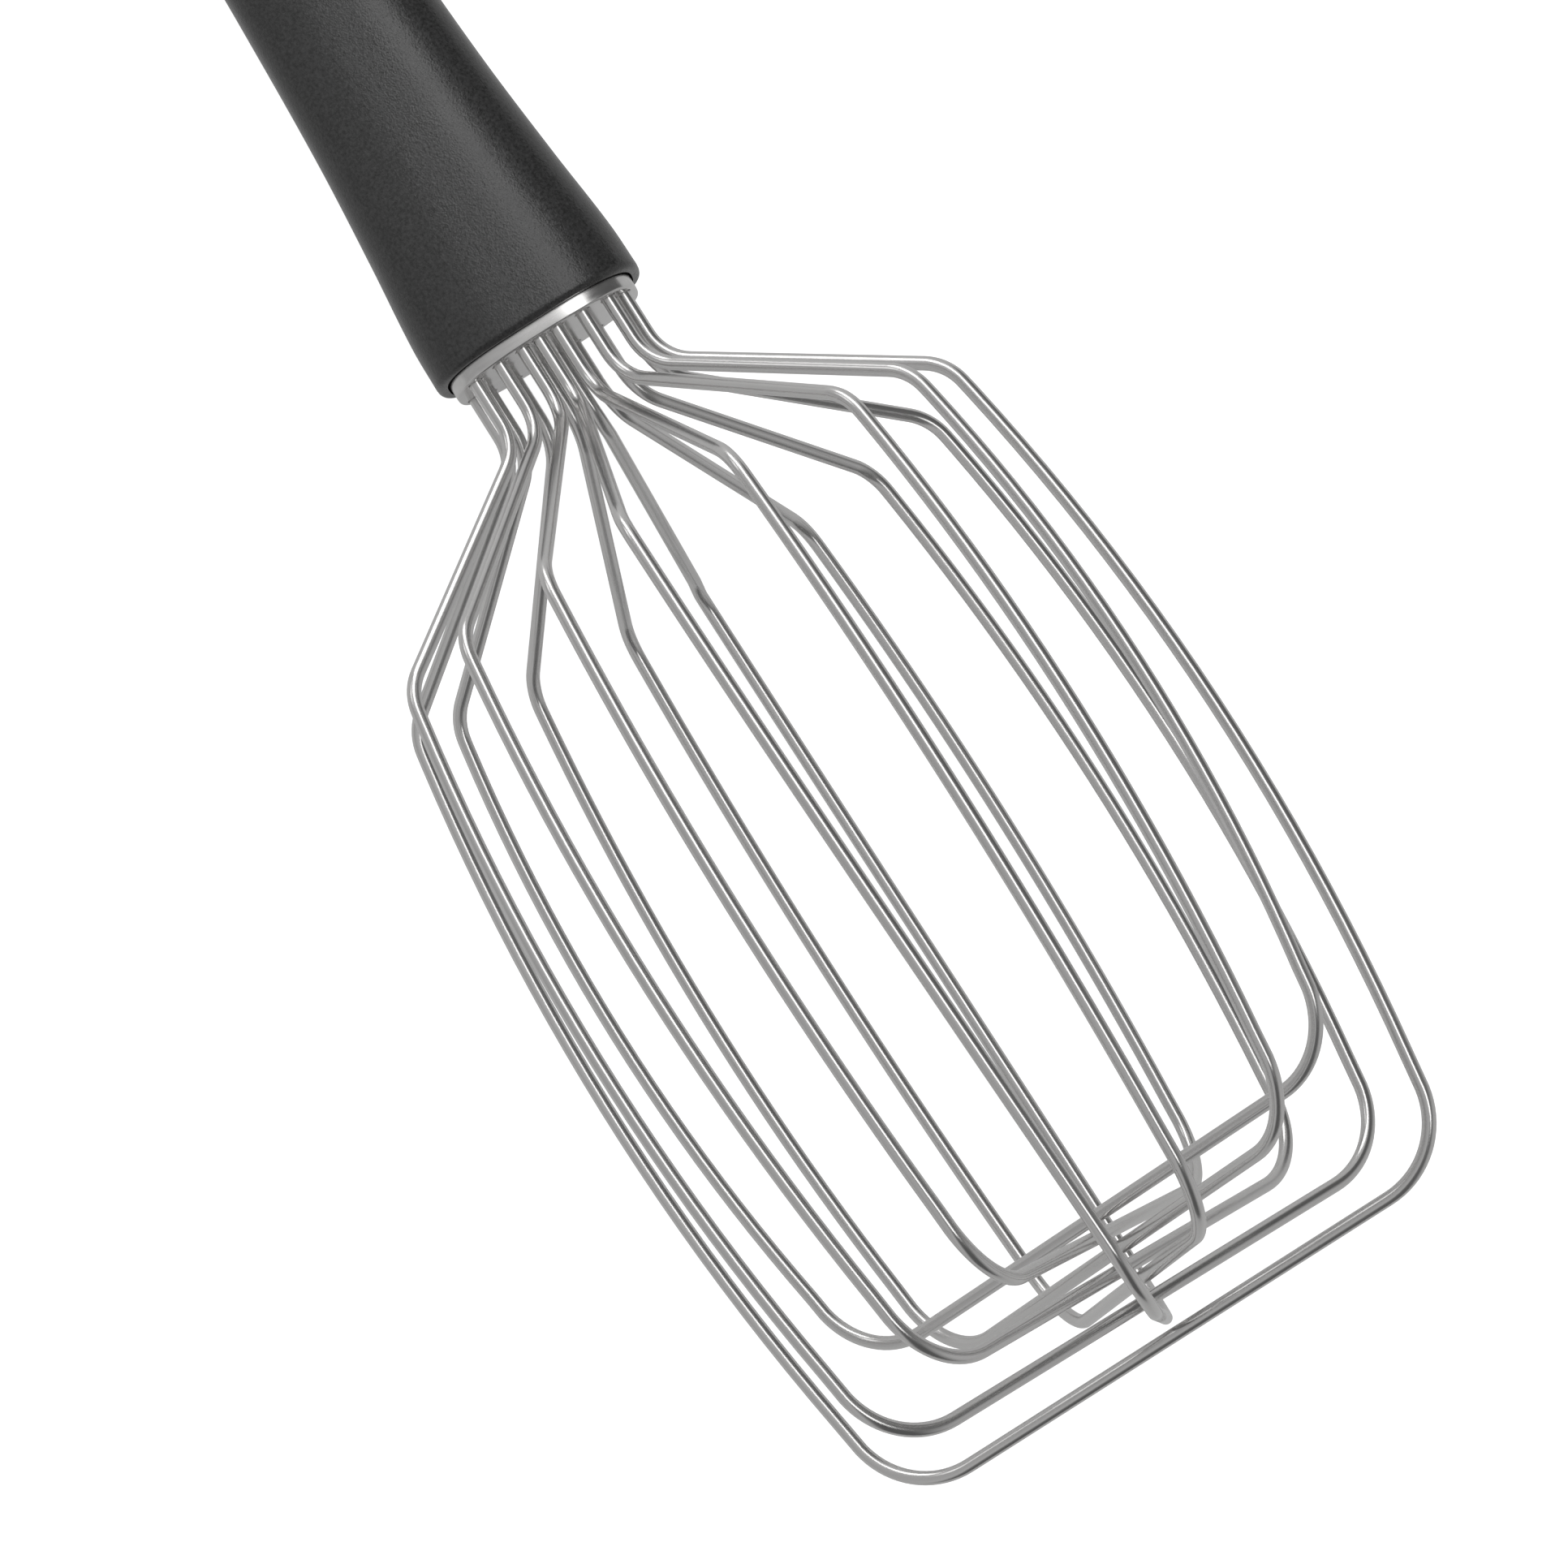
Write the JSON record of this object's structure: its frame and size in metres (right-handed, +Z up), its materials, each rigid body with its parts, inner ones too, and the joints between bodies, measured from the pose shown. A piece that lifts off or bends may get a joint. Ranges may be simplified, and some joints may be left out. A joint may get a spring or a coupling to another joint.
{
  "type": "wire pastry whisk",
  "caption": "Hand whisk for pastry: nested squared-off steel wire loops set in an oblong soft-grip handle, lying at rest.",
  "frame": {"origin": "centre of the bottom of the object's box: the point of the table under the middle of the tool as it lies on two wire legs and the lower edge of its butt", "axes": "+X along the tool from the butt towards the foot of the cage, +Z up from the table; the tool's own axis rises from the butt towards the cage by about 11 degrees, and the tool is turned about it by about 8 degrees"},
  "size_m": [0.279, 0.0882, 0.1023],
  "materials": {
    "steel_wire": "drawn and polished wire",
    "brushed_plate": "fine brushed",
    "soft_touch": "matt charcoal soft touch, very fine grain",
    "core_plastic": "plain moulded",
    "cap_plastic": "satin charcoal, fine grain"
  },
  "bodies": {
    "root": {"wire_loop_1": "steel_wire", "wire_loop_2": "steel_wire", "wire_loop_3": "steel_wire", "wire_loop_4": "steel_wire", "wire_loop_5": "steel_wire", "wire_loop_6": "steel_wire", "wire_loop_7": "steel_wire", "wire_loop_8": "steel_wire", "ferrule_plate": "brushed_plate", "handle_core": "core_plastic", "soft_grip": "soft_touch", "end_cap": "cap_plastic"}
  },
  "joints": []
}
